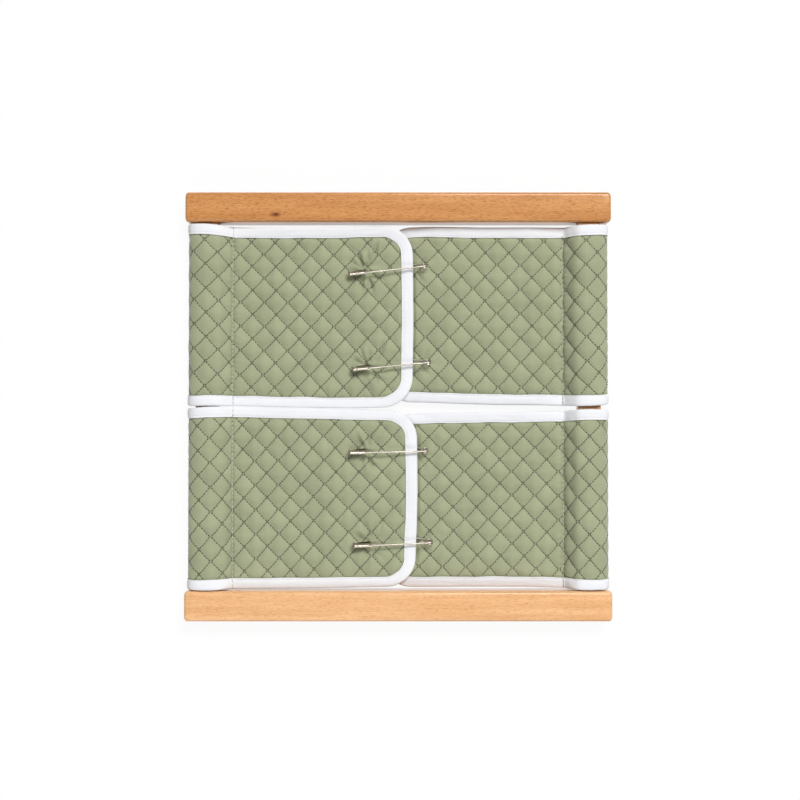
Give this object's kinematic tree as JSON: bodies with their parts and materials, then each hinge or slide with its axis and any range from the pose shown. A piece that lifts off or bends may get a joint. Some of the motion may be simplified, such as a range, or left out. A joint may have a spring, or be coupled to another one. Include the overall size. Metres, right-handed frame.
{
  "type": "dressing frame",
  "caption": "Square wooden frame with two rows of quilted cloth flaps sleeved on its side bars and held shut down the middle by safety pins.",
  "frame": {"origin": "middle of the frame on the surface it lies on", "axes": "+X to the right along the rails, +Y up the front view along the side bars, +Z out of the front face"},
  "size_m": [0.305, 0.3064, 0.0192],
  "materials": {
    "beech": "sanded beech with clear satin varnish",
    "sage_cotton": "sage green quilted cotton",
    "white_tape": "white cotton bias tape",
    "nickel": "bright nickel plate on steel wire",
    "screw_steel": "zinc-plated steel"
  },
  "bodies": {
    "frame": {"top_rail": "beech", "bottom_rail": "beech", "left_side_bar": "beech", "left_top_screw": "screw_steel", "left_bottom_screw": "screw_steel", "right_side_bar": "beech", "right_top_screw": "screw_steel", "right_bottom_screw": "screw_steel", "upper_left_sleeve": "sage_cotton", "upper_left_sleeve_top_binding": "white_tape", "upper_left_sleeve_bottom_binding": "white_tape", "upper_right_sleeve": "sage_cotton", "upper_right_sleeve_top_binding": "white_tape", "upper_right_sleeve_bottom_binding": "white_tape", "lower_left_sleeve": "sage_cotton", "lower_left_sleeve_top_binding": "white_tape", "lower_left_sleeve_bottom_binding": "white_tape", "lower_right_sleeve": "sage_cotton", "lower_right_sleeve_top_binding": "white_tape", "lower_right_sleeve_bottom_binding": "white_tape"},
    "upper_left_leaf": {"upper_left_flap": "sage_cotton", "upper_left_flap_binding": "white_tape", "pin_a_needle": "nickel", "pin_b_needle": "nickel"},
    "upper_right_leaf": {"upper_right_flap": "sage_cotton", "upper_right_flap_binding": "white_tape"},
    "lower_left_leaf": {"lower_left_flap": "sage_cotton", "lower_left_flap_binding": "white_tape", "pin_c_needle": "nickel", "pin_d_needle": "nickel"},
    "lower_right_leaf": {"lower_right_flap": "sage_cotton", "lower_right_flap_binding": "white_tape"},
    "pin_a_arm": {"pin_a_back": "nickel", "pin_a_head": "nickel"},
    "pin_b_arm": {"pin_b_back": "nickel", "pin_b_head": "nickel"},
    "pin_c_arm": {"pin_c_back": "nickel", "pin_c_head": "nickel"},
    "pin_d_arm": {"pin_d_back": "nickel", "pin_d_head": "nickel"}
  },
  "joints": [
    {"name": "upper_left_swing", "type": "hinge", "parent": "frame", "child": "upper_left_leaf", "pos_m": [-0.119, 0.066, 0.0154], "axis": [0, -1, 0], "range_deg": [0, 160]},
    {"name": "upper_right_swing", "type": "hinge", "parent": "frame", "child": "upper_right_leaf", "pos_m": [0.119, 0.066, 0.0154], "axis": [0, 1, 0], "range_deg": [0, 130]},
    {"name": "lower_left_swing", "type": "hinge", "parent": "frame", "child": "lower_left_leaf", "pos_m": [-0.119, -0.066, 0.0154], "axis": [0, -1, 0], "range_deg": [0, 160]},
    {"name": "lower_right_swing", "type": "hinge", "parent": "frame", "child": "lower_right_leaf", "pos_m": [0.119, -0.066, 0.0154], "axis": [0, 1, 0], "range_deg": [0, 130]},
    {"name": "pin_a_open", "type": "hinge", "parent": "upper_left_leaf", "child": "pin_a_arm", "pos_m": [0.0186, 0.1009, 0.01212], "axis": [-0.0519, 0.8182, 0.5726], "range_deg": [0, 40]},
    {"name": "pin_b_open", "type": "hinge", "parent": "upper_left_leaf", "child": "pin_b_arm", "pos_m": [0.0212, 0.0316, 0.01212], "axis": [-0.0361, 0.8191, 0.5726], "range_deg": [0, 40]},
    {"name": "pin_c_open", "type": "hinge", "parent": "lower_left_leaf", "child": "pin_c_arm", "pos_m": [0.0192, -0.0318, 0.01212], "axis": [0.0239, 0.8195, 0.5726], "range_deg": [0, 40]},
    {"name": "pin_d_open", "type": "hinge", "parent": "lower_left_leaf", "child": "pin_d_arm", "pos_m": [0.0224, -0.0973, 0.01212], "axis": [0.0111, 0.8198, 0.5726], "range_deg": [0, 40]}
  ],
  "couplings": [
    {"joint": "upper_right_swing", "follows": "upper_left_swing", "ratio": 0.8},
    {"joint": "lower_right_swing", "follows": "lower_left_swing", "ratio": 0.8}
  ]
}
